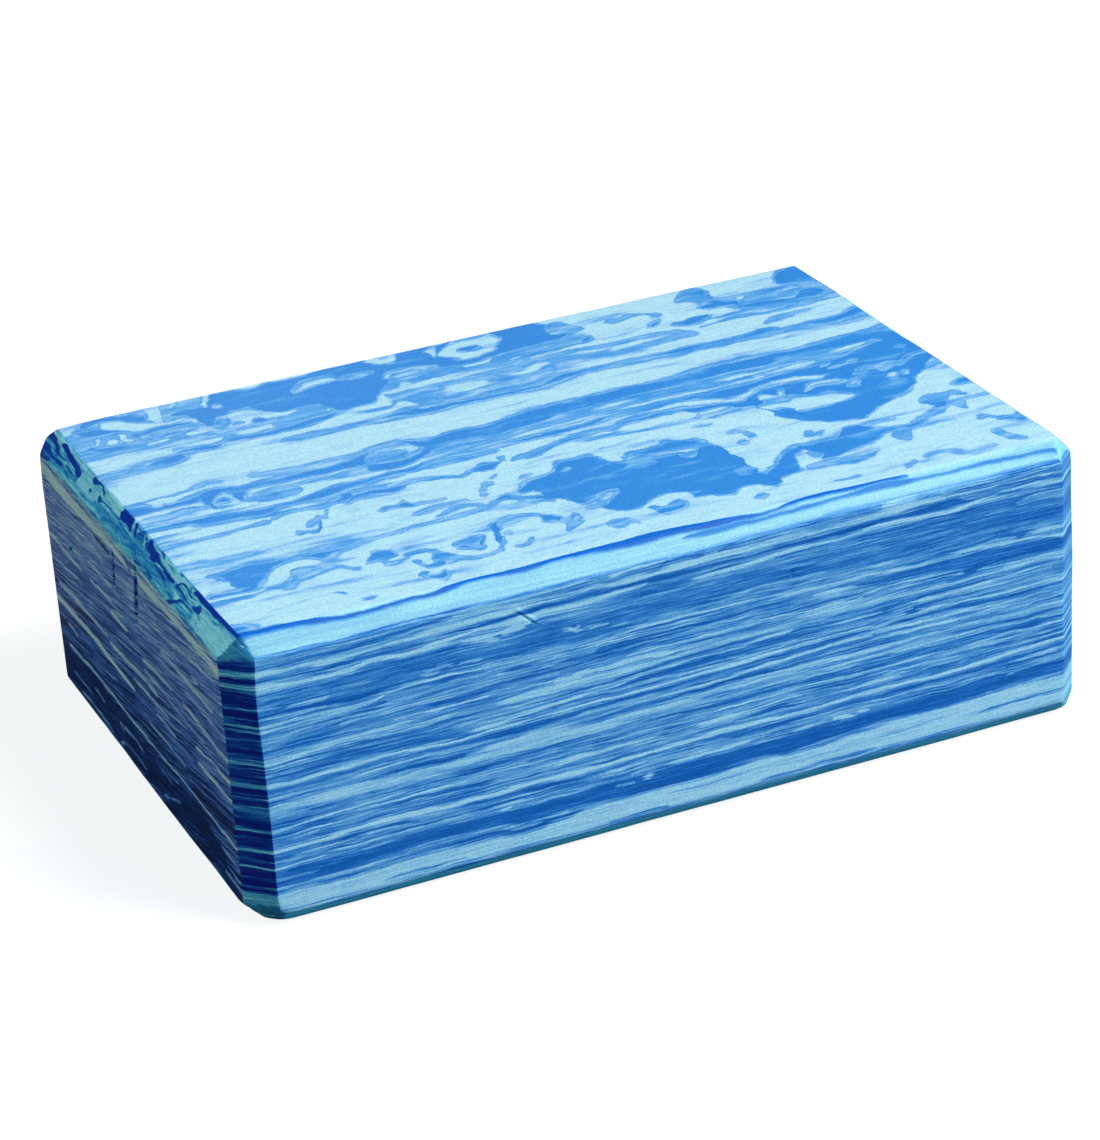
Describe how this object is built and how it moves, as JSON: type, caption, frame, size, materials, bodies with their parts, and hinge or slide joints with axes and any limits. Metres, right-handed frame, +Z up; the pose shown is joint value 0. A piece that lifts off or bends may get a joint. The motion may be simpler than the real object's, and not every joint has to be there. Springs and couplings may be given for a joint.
{
  "type": "foam block",
  "caption": "Rectangular closed-cell foam exercise block with bevelled edges and mitred corners, marbled in light and dark blue layers.",
  "frame": {"origin": "middle of the underside, on the surface that the block lies on", "axes": "+X along the length, +Y along the width from front to back, +Z up through the thickness"},
  "size_m": [0.2286, 0.1524, 0.0762],
  "materials": {
    "foam": "matt closed-cell EVA foam, marbled through its whole thickness in pale and deep blue"
  },
  "bodies": {
    "root": {"foam_block": "foam"}
  },
  "joints": []
}
